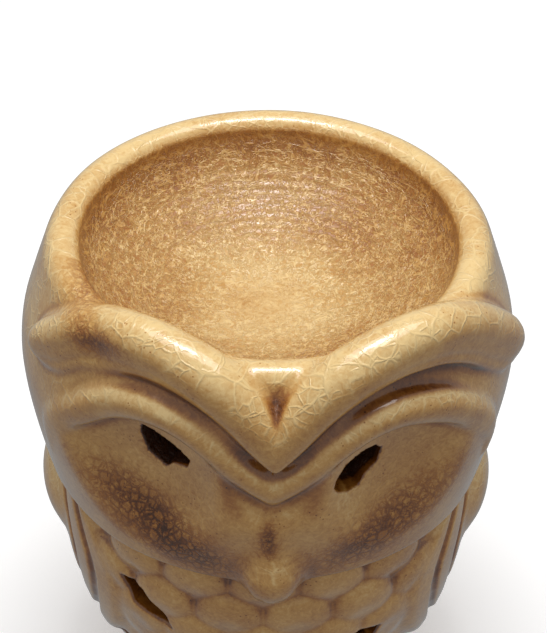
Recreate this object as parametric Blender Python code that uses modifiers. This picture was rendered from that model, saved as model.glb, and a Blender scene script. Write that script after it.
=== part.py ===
"""Owl-shaped ceramic oil burner with its tealight.

Metres, +Z up. The owl faces -Y and stands on z = 0. The dish, head, body and candle are turned about
one vertical axis, which lies AXIS_Y behind the origin, so that the origin is the middle of the footprint.
"""

import math

import bmesh
import bpy
from mathutils import Matrix, Vector

MM = 0.001
GAP = 0.3 * MM  # slip joint between two clay pieces, and clearance under anything that rests on another

# Driving dimensions
RIM_Z = 120.0 * MM  # crest of the dish's rim
HEAD_R = 50.3 * MM  # widest radius of the head
HEAD_FOOT_Z = 69.0 * MM  # lower edge of the head, which overhangs the body
HEAD_BORE_R = 40.0 * MM  # inside of the head wall at its lower edge
NECK_TOP_Z = 74.0 * MM  # top of the collar that the head slips over
WALL = 4.5 * MM  # thickness of the cast walls
DISH_R = 37.2 * MM  # mouth of the oil dish
DISH_DEPTH = 17.0 * MM
BASE_R = 30.0 * MM
BASE_THICK = 5.0 * MM
PAD_R = 4.5 * MM
PAD_THICK = 1.5 * MM
PAD_CIRCLE_R = 21.0 * MM
PAD_COUNT = 4
BEAK_REACH = 52.8 * MM  # how far the beak stands in front of the axis
DOOR_W = 46.0 * MM  # doorway in the back, for the tealight
DOOR_H = 40.0 * MM
CANDLE_R = 19.0 * MM
CANDLE_H = 15.0 * MM

AXIS_Y = (BEAK_REACH - HEAD_R) / 2
BASE_Z = PAD_THICK + GAP
FLOOR_Z = BASE_Z + BASE_THICK
BODY_FOOT_Z = FLOOR_Z + GAP
DISH_SEAT_Z = RIM_Z - 5.0 * MM  # top of the head wall, under the dish's flange
TURN_STEPS = 40
LONG = 60.0 * MM  # reach of a cutter that only has to pass a wall

# Outlines, as (radius, height) in millimetres
BODY_OUTLINE = [(30, 7.1), (33, 12), (36.6, 20), (40.4, 31), (42.8, 43), (43, 55), (41.8, 64), (41, 68.7)]
HEAD_OUTLINE = [(46.6, 69.8), (48.2, 76), (49.8, 86), (50.3, 98), (49.2, 107), (45.6, 115)]

# Rolls of clay, from the middle to one end: (across, forward of the axis, height, half depth, half height) in mm,
# then the tilt of the section sideways and its lean back from the vertical, in degrees
BROW_ROLL = [(0, 45.0, 110.0, 5.4, 10.6, 0, 34), (5.5, 44.8, 112.8, 5.2, 8.4, 26, 30),
             (11.5, 43.3, 116.4, 5.0, 6.6, 34, 24), (18, 40.5, 119.4, 4.9, 5.6, 24, 14),
             (26.6, 35.0, 121.2, 4.8, 5.0, 4, 5), (35, 28.3, 118.8, 4.7, 4.8, -22, 0),
             (41.5, 21.8, 113.2, 4.5, 4.6, -42, 0), (45.2, 17.2, 107.6, 4.0, 4.2, -55, 0),
             (46.8, 14.3, 103.4, 2.2, 2.4, -60, 0)]
LID_ROLL = [(0, 45.6, 95.0, 3.6, 5.0, 0, 20), (6, 45.5, 99.0, 3.4, 3.8, 36, 15), (12, 44.6, 103.4, 3.3, 3.3, 34, 8),
            (19, 42.2, 107.4, 3.3, 3.3, 20, 0), (27, 37.8, 108.2, 3.3, 3.3, -5, 0), (36, 30.4, 102.6, 3.2, 3.2, -38, 0),
            (41.5, 24.0, 95.0, 2.6, 2.6, -55, 0), (44.2, 19.8, 88.6, 1.6, 1.6, -60, 0)]

# Hollows of the face: (azimuth in degrees, distance from the axis, height, half sizes across, deep and high) in mm
# and how far they lean to the side, in degrees
FACE_HOLLOWS = [(-27, 56.0, 93.5, (23.5, 12.0, 21.0), -24), (27, 56.0, 93.5, (23.5, 12.0, 21.0), 24),
                (0, 58.0, 98.0, (17.0, 12.0, 16.0), 0)]
# Eye holes, as (azimuth in degrees, height in mm, tilt in degrees): cut by hand, so the two differ
EYE_HOLES = {"left": (-25.9, 98.4, -33.0), "right": (21.3, 95.8, 33.0)}
EYE_LONG_R = 5.9 * MM
EYE_SHORT_R = 3.5 * MM
# Feather-shaped vents in the breast, the same way
VENTS = [(-34.0, 53.0, 35.0), (27.0, 42.5, -25.0), (-16.0, 33.0, 20.0), (40.0, 28.0, -35.0), (-44.0, 28.0, 35.0)]
VENT_LONG_R = 8.5 * MM
VENT_SHORT_R = 3.9 * MM
BODY_REACH = 44.0 * MM  # distance from the axis at which cutters for the body wall are centred
# Relief feathers on the breast
BIB_TOP_Z = 66.5 * MM
FEATHERS_IN_ROW = (5, 6, 5, 4)
FEATHER_ROW = 11.0 * MM  # height of a row
FEATHER_STEP = 16.5  # degrees between the feathers of a row
FEATHER_SKEW = 1.3  # degrees that each row is set further round than the one above, as by hand
FEATHER_THIN = 0.8 * MM  # thickness of a row at its top, under the row above
FEATHER_THICK = 2.4 * MM  # and at its tips

CLAY = ((0.62, 0.43, 0.22), 0.2, 0.0)
ALUMINIUM = ((0.8, 0.8, 0.82), 0.3, 1.0)
WAX = ((0.9, 0.88, 0.8), 0.45, 0.0)
COTTON = ((0.85, 0.82, 0.74), 0.9, 0.0)
STEEL = ((0.6, 0.6, 0.62), 0.35, 1.0)
FELT = ((0.12, 0.08, 0.05), 0.95, 0.0)


def clear_scene():
    for obj in list(bpy.data.objects):
        bpy.data.objects.remove(obj)


def new_collection(name):
    collection = bpy.data.collections.new(name)
    bpy.context.scene.collection.children.link(collection)
    return collection


def finish_object(obj, name, look):
    """Names a part, puts it in the object's collection and gives it its material."""
    obj.name = name
    PARTS.objects.link(obj)
    colour, roughness, metallic = look
    material = bpy.data.materials.new(name)
    material.use_nodes = True
    shader = material.node_tree.nodes["Principled BSDF"]
    shader.inputs["Base Color"].default_value = (*colour, 1.0)
    shader.inputs["Roughness"].default_value = roughness
    shader.inputs["Metallic"].default_value = metallic
    obj.data.materials.append(material)
    return obj


def helper(obj, name):
    """Keeps a cutter or other shape that isn't part of the object out of the render."""
    obj.name = name
    CUTTERS.objects.link(obj)
    obj.hide_render = True
    obj.display_type = "WIRE"
    return obj


def boolean(obj, other, operation, crosses_itself=False):
    modifier = obj.modifiers.new(f"{operation.lower()}_{other.name}", "BOOLEAN")
    modifier.operation = operation
    modifier.object = other
    modifier.solver = "EXACT"
    modifier.use_self = crosses_itself


def smooth_line(points, per_span):
    """Points along a Catmull-Rom curve through the given points, of any dimension."""
    known = [Vector(p) for p in points]
    before = 2 * known[0] - known[1]
    after = 2 * known[-1] - known[-2]
    known = [before, *known, after]
    line = []
    for a, b, c, d in zip(known, known[1:], known[2:], known[3:]):
        for step in range(per_span):
            t = step / per_span
            line.append(0.5 * (2 * b + (c - a) * t + (2 * a - 5 * b + 4 * c - d) * t**2
                               + (3 * b - a - 3 * c + d) * t**3))
    line.append(known[-2])
    return line


def outline(points, per_span=2, grow=0.0):
    """A smooth (radius, height) outline in metres, moved outwards by grow."""
    return [(p.x * MM + grow, p.y * MM) for p in smooth_line(points, per_span)]


def arc(centre, radius, start, end, count):
    """Points on a circular arc, angles in degrees."""
    angles = [math.radians(start + (end - start) * i / count) for i in range(count + 1)]
    return [(centre[0] + radius * math.cos(a), centre[1] + radius * math.sin(a)) for a in angles]


def turned(profile, closed, steps=TURN_STEPS):
    """An object turned about the vertical axis from a profile that runs down its outer side."""
    mesh = bpy.data.meshes.new("turned")
    count = len(profile)
    edges = [(i, i + 1) for i in range(count - 1)]
    if closed:
        edges.append((count - 1, 0))
    mesh.from_pydata([(r, 0.0, z) for r, z in profile], edges, [])
    obj = bpy.data.objects.new("turned", mesh)
    screw = obj.modifiers.new("turn", "SCREW")
    screw.steps = steps
    screw.render_steps = steps
    screw.use_merge_vertices = True
    screw.merge_threshold = 0.00001
    obj.location.y = AXIS_Y
    return obj


def ball(radii, location, rotation=(0.0, 0.0, 0.0), segments=20, rings=12):
    """An ellipsoid whose scale and rotation are in its mesh."""
    mesh = bpy.data.meshes.new("ball")
    shape = bmesh.new()
    bmesh.ops.create_uvsphere(shape, u_segments=segments, v_segments=rings, radius=1.0)
    bmesh.ops.scale(shape, vec=Vector(radii), verts=shape.verts)
    shape.to_mesh(mesh)
    shape.free()
    obj = bpy.data.objects.new("ball", mesh)
    obj.location = location
    obj.rotation_euler = rotation
    return obj


def drum(radius, height, bottom, segments=32, centre=(0.0, 0.0)):
    """An upright cylinder that stands on the height bottom."""
    mesh = bpy.data.meshes.new("drum")
    shape = bmesh.new()
    bmesh.ops.create_cone(shape, cap_ends=True, segments=segments, radius1=radius, radius2=radius, depth=height)
    shape.to_mesh(mesh)
    shape.free()
    obj = bpy.data.objects.new("drum", mesh)
    obj.location = (centre[0], centre[1], bottom + height / 2)
    return obj


def mesh_from_curve(curve_object):
    """Swaps a curve object for a closed mesh object in the same place."""
    bpy.context.scene.collection.objects.link(curve_object)
    graph = bpy.context.evaluated_depsgraph_get()
    mesh = bpy.data.meshes.new_from_object(curve_object.evaluated_get(graph))
    shape = bmesh.new()
    shape.from_mesh(mesh)
    bmesh.ops.remove_doubles(shape, verts=shape.verts, dist=0.00001)
    bmesh.ops.recalc_face_normals(shape, faces=shape.faces)
    shape.to_mesh(mesh)
    shape.free()
    obj = bpy.data.objects.new("from_curve", mesh)
    obj.matrix_world = curve_object.matrix_world
    bpy.data.objects.remove(curve_object)
    return obj


def closed_mesh(name, points, faces):
    """An object from points and faces that close on themselves, with all its faces turned outwards."""
    mesh = bpy.data.meshes.new(name)
    mesh.from_pydata(points, [], faces)
    shape = bmesh.new()
    shape.from_mesh(mesh)
    bmesh.ops.recalc_face_normals(shape, faces=shape.faces)
    shape.to_mesh(mesh)
    shape.free()
    return bpy.data.objects.new(name, mesh)


def roll(half_path, per_span=2, sides=10):
    """A roll of clay of oval section, the same to the left and right, from its middle to its end."""
    half = smooth_line(half_path, per_span)
    whole = [(-1, p) for p in reversed(half[1:])] + [(1, p) for p in half]
    points = []
    for side, (across, forward, height, depth, rise, tilt, back) in whole:
        azimuth = math.atan2(side * across, forward)
        outwards = Vector((math.sin(azimuth), -math.cos(azimuth), 0.0))
        along = Vector((math.cos(azimuth), math.sin(azimuth), 0.0))
        lean = side * math.radians(tilt)
        upwards = Vector((0.0, 0.0, math.cos(lean))) - along * math.sin(lean)
        pitch = Matrix.Rotation(-math.radians(back), 3, along)
        outwards, upwards = pitch @ outwards, pitch @ upwards
        middle = Vector((side * across, -forward, height))
        for index in range(sides):
            turn = math.tau * index / sides
            point = middle + outwards * (depth * math.cos(turn)) + upwards * (rise * math.sin(turn))
            points.append((point.x * MM, AXIS_Y + point.y * MM, point.z * MM))
    faces = [tuple(range(sides)), tuple(range(len(points) - sides, len(points)))]
    for ring in range(len(whole) - 1):
        for index in range(sides):
            start, after = ring * sides + index, ring * sides + (index + 1) % sides
            faces.append((start, after, after + sides, start + sides))
    return closed_mesh("roll", points, faces)


def plate(points, thickness):
    """A flat plate in the XY plane, centred on its own origin, from a closed outline."""
    curve = bpy.data.curves.new("plate", "CURVE")
    curve.dimensions = "2D"
    curve.fill_mode = "BOTH"
    curve.extrude = thickness / 2
    spline = curve.splines.new("POLY")
    spline.points.add(len(points) - 1)
    for point, (x, y) in zip(spline.points, points):
        point.co = (x, y, 0.0, 1.0)
    spline.use_cyclic_u = True
    return mesh_from_curve(bpy.data.objects.new("plate", curve))


def face_outwards(obj, azimuth, height, tilt, reach):
    """Stands a plate cutter across the wall at an azimuth from the front, turned by tilt in its own plane."""
    turn = Matrix.Rotation(math.radians(azimuth), 4, "Z") @ Matrix.Rotation(math.radians(90), 4, "X")
    place = Matrix.Translation((0.0, AXIS_Y, height)) @ turn @ Matrix.Translation((0.0, 0.0, reach))
    obj.matrix_world = place @ Matrix.Rotation(math.radians(tilt), 4, "Z")
    return obj


def leaf_outline(long_r, short_r, count=8):
    """A leaf of two equal arcs that meet in points."""
    radius = (long_r**2 + short_r**2) / (2 * short_r)
    half = math.degrees(math.asin(long_r / radius))
    upper = arc((0.0, short_r - radius), radius, 90 - half, 90 + half, count)
    lower = arc((0.0, radius - short_r), radius, 270 - half, 270 + half, count)
    return upper[:-1] + lower[:-1]


def oval_outline(long_r, short_r, count=20):
    angles = [math.tau * i / count for i in range(count)]
    return [(long_r * math.cos(a), short_r * math.sin(a)) for a in angles]


def body_keep_out():
    """The space of the body, the base and the slip around them, which sprigged-on pieces stay out of."""
    wall = outline(BODY_OUTLINE, 3, GAP)[::-1]
    foot = [(BASE_R + GAP, wall[-1][1]), (BASE_R + GAP, BASE_Z - GAP), (0.0, BASE_Z - GAP)]
    top = [(0.0, HEAD_FOOT_Z + LONG), (wall[0][0], HEAD_FOOT_Z + LONG)]
    return helper(turned(top + wall + foot, closed=False), "body_keep_out")


def head_keep_out():
    """The space of the head, the dish's rim and the slip around them."""
    wall = outline(HEAD_OUTLINE, 3, GAP)[::-1]
    crest = [(0.0, RIM_Z - 1.6 * MM), (DISH_R - 1.0 * MM, RIM_Z - 1.6 * MM)]
    rim = [(40.5 * MM, RIM_Z + GAP), (43.3 * MM, RIM_Z - 0.6 * MM), (45.6 * MM, RIM_Z - 3.0 * MM)]
    foot = [(wall[-1][0] - MM, HEAD_FOOT_Z - GAP), (0.0, HEAD_FOOT_Z - GAP)]
    obj = helper(turned(crest + rim + wall + foot, closed=False, steps=48), "head_keep_out")
    for hollow in face_hollows(-GAP):
        boolean(obj, hollow, "DIFFERENCE")
    return obj


def face_hollows(grow):
    """The two eye sockets and the hollow between them, each larger by grow."""
    hollows = []
    for index, (azimuth, away, height, radii, lean) in enumerate(FACE_HOLLOWS):
        angle = math.radians(azimuth)
        spot = (away * MM * math.sin(angle), AXIS_Y - away * MM * math.cos(angle), height * MM)
        size = [r * MM + grow for r in radii]
        hollow = ball(size, spot, (math.radians(-6), math.radians(lean), angle), segments=28, rings=16)
        hollows.append(helper(hollow, f"face_hollow_{index}_{'slip' if grow else 'cut'}"))
    return hollows


def vent_cutters():
    cutters = []
    for index, (azimuth, height, tilt) in enumerate(VENTS, 1):
        leaf = plate(leaf_outline(VENT_LONG_R, VENT_SHORT_R), LONG / 2)
        face_outwards(leaf, azimuth, height * MM, tilt, BODY_REACH)
        cutters.append(helper(leaf, f"vent_cutter_{index}"))
    return cutters


def make_body(vents):
    outer = outline(BODY_OUTLINE)[::-1]
    inner = outline(BODY_OUTLINE, 1, -WALL)
    collar_r = HEAD_BORE_R - GAP
    collar = [(collar_r, NECK_TOP_Z), (collar_r, outer[0][1])]
    throat = [(collar_r - WALL, NECK_TOP_Z)]
    obj = finish_object(turned(collar + outer + inner[:-1] + throat, closed=True), "body_shell", CLAY)
    half = DOOR_W / 2
    sill = [(-half, 0.0), (half, 0.0)]
    arch = arc((0.0, DOOR_H - half), half, 0, 180, 16)
    door = face_outwards(plate(sill + arch, LONG), 180.0, BODY_FOOT_Z - MM, 0.0, BODY_REACH)
    boolean(obj, helper(door, "door_cutter"), "DIFFERENCE")
    for vent in vents:
        boolean(obj, vent, "DIFFERENCE")
    return obj


def body_radius(height):
    """Radius of the body's outside at a height, in metres."""
    line = outline(BODY_OUTLINE, 4)
    for (low_r, low_z), (high_r, high_z) in zip(line, line[1:]):
        if height <= high_z:
            return low_r + (high_r - low_r) * (height - low_z) / (high_z - low_z)
    return line[-1][0]


def feather_row(row, count):
    """One row of feathers as a band around the front, thicker towards its scalloped lower edge."""
    per_feather = 6
    top = BIB_TOP_Z - row * FEATHER_ROW
    points = []
    columns = count * per_feather + 1
    for column in range(columns):
        feather, step = divmod(column, per_feather)
        turn = math.pi * step / per_feather
        place = feather + (1 - math.cos(turn)) / 2 - count / 2
        azimuth = math.radians(FEATHER_STEP * place + FEATHER_SKEW * row)
        bottom = top - FEATHER_ROW * (1.1 + 0.4 * math.sin(turn))
        inside = (2.0 + 0.7 * row) * MM
        for height, rise in ((top, FEATHER_THIN), (bottom, FEATHER_THICK), (bottom, -inside), (top, -inside)):
            radius = body_radius(height) + rise
            points.append((radius * math.sin(azimuth), AXIS_Y - radius * math.cos(azimuth), height))
    faces = [(0, 1, 2, 3), tuple(range(len(points) - 4, len(points)))]
    for column in range(columns - 1):
        for corner in range(4):
            start, after = column * 4 + corner, column * 4 + (corner + 1) % 4
            faces.append((start, after, after + 4, start + 4))
    return closed_mesh("feather_row", points, faces)


def make_breast(vents, keep_out):
    """A bib of relief feathers, pressed on over the front of the body: rows that lap like roof tiles."""
    first, *others = (feather_row(row, count) for row, count in enumerate(FEATHERS_IN_ROW))
    obj = finish_object(first, "breast_feathers", CLAY)
    for index, band in enumerate(others, 2):
        boolean(obj, helper(band, f"feather_row_{index}"), "UNION")
    boolean(obj, keep_out, "DIFFERENCE")
    for vent in vents:
        boolean(obj, vent, "DIFFERENCE")
    return obj


def make_head():
    outer = outline(HEAD_OUTLINE)[::-1]
    foot = [(outer[-1][0] - 1.0 * MM, HEAD_FOOT_Z), (HEAD_BORE_R, HEAD_FOOT_Z)]
    bore = [(HEAD_BORE_R, NECK_TOP_Z + GAP), (37.0 * MM, NECK_TOP_Z + 2 * MM), (37.0 * MM, 104 * MM),
            (39.4 * MM, 110 * MM), (41.0 * MM, 113 * MM), (41.0 * MM, DISH_SEAT_Z)]
    obj = finish_object(turned(outer + foot + bore, closed=True, steps=48), "head_shell", CLAY)
    for hollow in face_hollows(0.0):
        boolean(obj, hollow, "DIFFERENCE")
    boolean(obj, helper(roll(LID_ROLL), "lid_roll"), "UNION")
    for side, (azimuth, height, tilt) in EYE_HOLES.items():
        hole = plate(oval_outline(EYE_LONG_R, EYE_SHORT_R), 30 * MM)
        face_outwards(hole, azimuth, height * MM, tilt, 46 * MM)
        boolean(obj, helper(hole, f"{side}_eye_cutter"), "DIFFERENCE")
    return obj


def make_dish():
    """A bowl of elliptic section with a rolled rim and a flange that seats on the head wall."""
    lip_z = RIM_Z - 2.0 * MM
    count = 10
    inside = [(DISH_R * math.sin(a), lip_z - DISH_DEPTH * math.cos(a))
              for a in (math.pi / 2 * i / count for i in range(count + 1))]
    rim = [(38.4 * MM, RIM_Z - 0.6 * MM), (40.6 * MM, RIM_Z), (43.0 * MM, RIM_Z - 0.8 * MM)]
    flange = [(45.0 * MM, RIM_Z - 3.0 * MM), (45.4 * MM, DISH_SEAT_Z + GAP), (40.3 * MM, DISH_SEAT_Z + GAP)]
    under_r = 40.3 * MM
    under_depth = DISH_DEPTH + WALL - 3.0 * MM
    outside = [(under_r * math.cos(a), DISH_SEAT_Z + GAP - under_depth * math.sin(a))
               for a in (math.pi / 2 * i / 8 for i in range(1, 9))]
    outside[-1] = (0.0, outside[-1][1])
    inside[0] = (0.0, inside[0][1])
    return finish_object(turned(inside + rim + flange + outside, closed=False), "oil_dish", CLAY)


def make_brow(keep_out):
    obj = finish_object(roll(BROW_ROLL), "brow_ridge", CLAY)
    boolean(obj, keep_out, "DIFFERENCE")
    return obj


def make_beak(keep_out):
    """A drop-shaped beak under the brow, from a four-sided cage rounded by subdivision."""
    rows = [(93, 47.0, 2.0), (85, 49.0, 3.4), (77, 51.2, 6.0), (71, 53.6, 5.6), (66.5, 53.0, 2.4)]
    mesh = bpy.data.meshes.new("beak")
    shape = bmesh.new()
    rings = []
    for height, forward, half in rows:
        corners = [(-half, forward - 9), (half, forward - 9), (half * 0.8, forward), (-half * 0.8, forward)]
        rings.append([shape.verts.new((x * MM, AXIS_Y - y * MM, height * MM)) for x, y in corners])
    for upper, lower in zip(rings, rings[1:]):
        for i in range(4):
            j = (i + 1) % 4
            shape.faces.new((upper[i], upper[j], lower[j], lower[i]))
    shape.faces.new(rings[0])
    shape.faces.new(rings[-1])
    bmesh.ops.recalc_face_normals(shape, faces=shape.faces)
    shape.to_mesh(mesh)
    shape.free()
    obj = finish_object(bpy.data.objects.new("beak", mesh), "beak", CLAY)
    smooth = obj.modifiers.new("round", "SUBSURF")
    smooth.levels = 2
    smooth.render_levels = 2
    boolean(obj, keep_out, "DIFFERENCE")
    return obj


def make_wing(side, keep_out):
    """A folded wing: a long lobe down the side with a rounded shoulder at its top."""
    name = "left_wing" if side < 0 else "right_wing"
    turn = (math.radians(8), math.radians(side * -8), math.radians(side * -10))
    lobe = ball((13.2 * MM, 21 * MM, 30 * MM), (side * 31.6 * MM, AXIS_Y + 5 * MM, 39.5 * MM), turn)
    shoulder = ball((9.6 * MM, 17 * MM, 13.5 * MM), (side * 38.6 * MM, AXIS_Y + 4 * MM, 53.2 * MM))
    obj = finish_object(lobe, name, CLAY)
    boolean(obj, helper(shoulder, f"{name}_shoulder"), "UNION")
    boolean(obj, keep_out, "DIFFERENCE")
    return obj


def make_foot(side, keep_out):
    """Three toes side by side, which stand out in front of the base."""
    name = "left_foot" if side < 0 else "right_foot"
    middle_x = side * 13.0 * MM
    toes = []
    for toe in (0, -1, 1):
        spot = (middle_x + toe * 5.4 * MM, AXIS_Y - (34.5 - abs(toe)) * MM, BASE_Z + 4.3 * MM)
        toes.append(ball((3.5 * MM, 8.5 * MM, 4.2 * MM), spot, (0, 0, math.radians(toe * 14)), 14, 8))
    obj = finish_object(toes[0], name, CLAY)
    for index, toe in enumerate(toes[1:], 2):
        boolean(obj, helper(toe, f"{name}_toe_{index}"), "UNION")
    boolean(obj, keep_out, "DIFFERENCE")
    return obj


def make_base():
    edge = 1.6 * MM
    top = [(0.0, FLOOR_Z), (BASE_R - edge, FLOOR_Z)]
    side = arc((BASE_R - edge, FLOOR_Z - edge), edge, 60, 0, 2)
    low = arc((BASE_R - edge, BASE_Z + edge), edge, 0, -90, 3)
    return finish_object(turned(top + side + low + [(0.0, BASE_Z)], closed=False), "base_disc", CLAY)


def make_pads():
    for index in range(PAD_COUNT):
        angle = math.tau * (index + 0.5) / PAD_COUNT
        spot = (PAD_CIRCLE_R * math.cos(angle), AXIS_Y + PAD_CIRCLE_R * math.sin(angle))
        finish_object(drum(PAD_R, PAD_THICK, 0.0, 20, spot), f"felt_pad_{index + 1}", FELT)


def make_candle():
    """A tealight: a drawn cup, its wax, the wick, and the tin sustainer that holds the wick upright."""
    sheet = 0.4 * MM
    cup_z = FLOOR_Z + GAP
    cup_top = cup_z + CANDLE_H
    bottom = [(CANDLE_R - MM, cup_z), (0.0, cup_z)]
    outside = [(CANDLE_R + 0.5 * MM, cup_top), (CANDLE_R + 0.3 * MM, cup_top - 0.6 * MM),
               (CANDLE_R, cup_top - MM), (CANDLE_R, cup_z + MM)]
    inside = [(0.0, cup_z + sheet), (CANDLE_R - MM - sheet, cup_z + sheet), (CANDLE_R - sheet, cup_z + MM + sheet),
              (CANDLE_R - sheet, cup_top - MM), (CANDLE_R - 0.1 * MM, cup_top)]
    finish_object(turned(inside + outside + bottom, closed=False, steps=36), "candle_cup", ALUMINIUM)

    tin_z = cup_z + sheet + GAP
    tin_r = 6.0 * MM
    collar_r = 1.6 * MM
    bore_r = 1.1 * MM
    collar_top = tin_z + 3.5 * MM
    tin = [(0.0, tin_z + sheet), (bore_r, tin_z + sheet), (bore_r, collar_top), (collar_r, collar_top),
           (collar_r, tin_z + sheet), (tin_r, tin_z + sheet), (tin_r, tin_z), (0.0, tin_z)]
    finish_object(turned(tin, closed=False, steps=20), "wick_sustainer", STEEL)

    wax_r = CANDLE_R - sheet - GAP
    wax_top = cup_top - 1.5 * MM
    recess = tin_z + sheet + GAP
    wax = [(bore_r, wax_top - 0.6 * MM), (wax_r - MM, wax_top - 0.6 * MM), (wax_r, wax_top), (wax_r, tin_z + MM),
           (wax_r - MM, tin_z), (tin_r + GAP, tin_z), (tin_r + GAP, recess), (collar_r + GAP, recess),
           (collar_r + GAP, collar_top + GAP), (bore_r, collar_top + GAP)]
    finish_object(turned(wax, closed=True, steps=36), "candle_wax", WAX)

    wick_z = tin_z + sheet + GAP
    wick_top = wax_top + 7 * MM
    wick = drum(0.8 * MM, wick_top - wick_z, wick_z, 10, (0.0, AXIS_Y))
    finish_object(wick, "candle_wick", COTTON)


clear_scene()
PARTS = new_collection("owl_oil_burner")
CUTTERS = new_collection("cutters")
body_space = body_keep_out()
head_space = head_keep_out()
vent_shapes = vent_cutters()
make_body(vent_shapes)
make_breast(vent_shapes, body_space)
make_head()
make_dish()
make_brow(head_space)
make_beak(head_space)
for direction in (-1, 1):
    make_wing(direction, body_space)
    make_foot(direction, body_space)
make_base()
make_pads()
make_candle()
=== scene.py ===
"""Looks of the owl oil burner: one glazed head, one glazed body, the base, the pads and the tealight.

The clay shapes are sculpted as distance fields: rolls, balls and turned walls that run into each other
softly, as clay does under a glaze. Each field is turned into a mesh, refined and laid exactly on its
surface.
Sculpting is in millimetres, in a frame whose Z axis is the dish's axis; meshes are built in metres.
"""

import math

import bmesh
import bpy
import numpy as np
from mathutils import Matrix, Vector


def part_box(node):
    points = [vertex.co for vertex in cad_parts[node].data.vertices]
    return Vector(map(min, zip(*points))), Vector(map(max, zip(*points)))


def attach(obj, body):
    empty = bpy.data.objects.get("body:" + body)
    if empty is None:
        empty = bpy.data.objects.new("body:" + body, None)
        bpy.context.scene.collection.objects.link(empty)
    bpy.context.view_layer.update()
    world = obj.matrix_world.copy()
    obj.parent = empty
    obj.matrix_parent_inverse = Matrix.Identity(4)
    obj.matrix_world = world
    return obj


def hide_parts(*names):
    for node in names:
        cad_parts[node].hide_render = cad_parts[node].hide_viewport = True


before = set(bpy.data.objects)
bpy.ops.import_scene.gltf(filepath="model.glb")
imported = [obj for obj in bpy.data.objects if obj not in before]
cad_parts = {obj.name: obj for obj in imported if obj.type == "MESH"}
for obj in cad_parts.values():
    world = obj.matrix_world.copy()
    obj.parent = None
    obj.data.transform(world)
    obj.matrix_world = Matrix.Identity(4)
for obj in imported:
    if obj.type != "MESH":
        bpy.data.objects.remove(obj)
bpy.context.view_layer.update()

MM = 0.001
BURNER = "burner"
TEALIGHT = "tealight"


def box_mm(node):
    """Lowest and highest corner of a node, in millimetres."""
    return [np.array(corner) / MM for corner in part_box(node)]


AXIS_Y = sum(box_mm("oil_dish"))[1] / 2  # the dish, head and body are turned about x = 0, y = AXIS_Y
RIM_Z = box_mm("oil_dish")[1][2]
BASE_FOOT_Z, BASE_TOP_Z = (corner[2] for corner in box_mm("base_disc"))


# ---------------------------------------------------------------- distance fields

FAR = 9.0  # a field's value, in mm, where a shape is too far off to be worth measuring


def soft_union(a, b, k):
    h = np.clip(0.5 + 0.5 * (b - a) / k, 0.0, 1.0)
    return b + (a - b) * h - k * h * (1.0 - h)


def soft_cut(a, b, k):
    """Shape a with shape b taken out of it."""
    return -soft_union(-a, b, k)


def smoothstep(low, high, value):
    t = np.clip((value - low) / (high - low), 0.0, 1.0)
    return t * t * (3.0 - 2.0 * t)


def curve_through(points, per_span):
    """A Catmull-Rom curve through the given points, of any dimension."""
    known = np.array([p for p in points], float)
    known = np.vstack([2 * known[0] - known[1], known, 2 * known[-1] - known[-2]])
    t = np.arange(per_span)[:, None] / per_span
    spans = []
    for a, b, c, d in zip(known, known[1:], known[2:], known[3:]):
        spans.append(0.5 * (2 * b + (c - a) * t + (2 * a - 5 * b + 4 * c - d) * t**2
                            + (3 * b - a - 3 * c + d) * t**3))
    return np.vstack([*spans, known[-2:-1]])


def only_near(points, low, high, measure):
    """Measures a field only inside a box and a margin around it."""
    near = np.all((points > np.array(low) - FAR) & (points < np.array(high) + FAR), axis=1)
    value = np.full(len(points), FAR)
    if near.any():
        value[near] = np.minimum(measure(points[near]), FAR)
    return value


def roll(points, path, per_span=3):
    """A roll of clay along a path of (x, y, z, radius)."""
    line = curve_through(path, per_span)
    reach = line[:, 3].max()

    def measure(near):
        best = np.full(len(near), FAR)
        for a, b in zip(line, line[1:]):
            along = b[:3] - a[:3]
            t = np.clip((near - a[:3]) @ along / (along @ along), 0.0, 1.0)
            gap = np.linalg.norm(near - a[:3] - t[:, None] * along, axis=1) - a[3] - t * (b[3] - a[3])
            np.minimum(best, gap, out=best)
        return best

    return only_near(points, line[:, :3].min(0) - reach, line[:, :3].max(0) + reach, measure)


def turn_matrix(azimuth, pitch=0.0, spin=0.0):
    """Rows are a shape's own across, outwards and up axes; azimuth 0 faces the front. Degrees."""
    about_z = Matrix.Rotation(math.radians(azimuth), 3, "Z")
    about_x = Matrix.Rotation(math.radians(pitch), 3, "X")
    about_y = Matrix.Rotation(math.radians(spin), 3, "Y")
    own = about_z @ about_x @ about_y @ Matrix(((1, 0, 0), (0, -1, 0), (0, 0, 1)))
    return np.array(own).T


def around(azimuth, radius, height):
    """A place at an azimuth from the front, a distance from the axis and a height."""
    angle = math.radians(azimuth)
    return np.array((radius * math.sin(angle), -radius * math.cos(angle), height))


def ball(points, centre, radii, turn=None):
    """An ellipsoid with half sizes across, outwards and up, turned by a turn_matrix."""
    turn = np.eye(3) if turn is None else turn
    radii = np.array(radii, float)

    def measure(near):
        own = (near - centre) @ turn.T
        scaled = own / radii
        length = np.linalg.norm(scaled, axis=1)
        slope = np.linalg.norm(scaled / radii, axis=1)
        return length * (length - 1.0) / np.maximum(slope, 1e-6)

    reach = radii.max()
    return only_near(points, centre - reach, centre + reach, measure)


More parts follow.
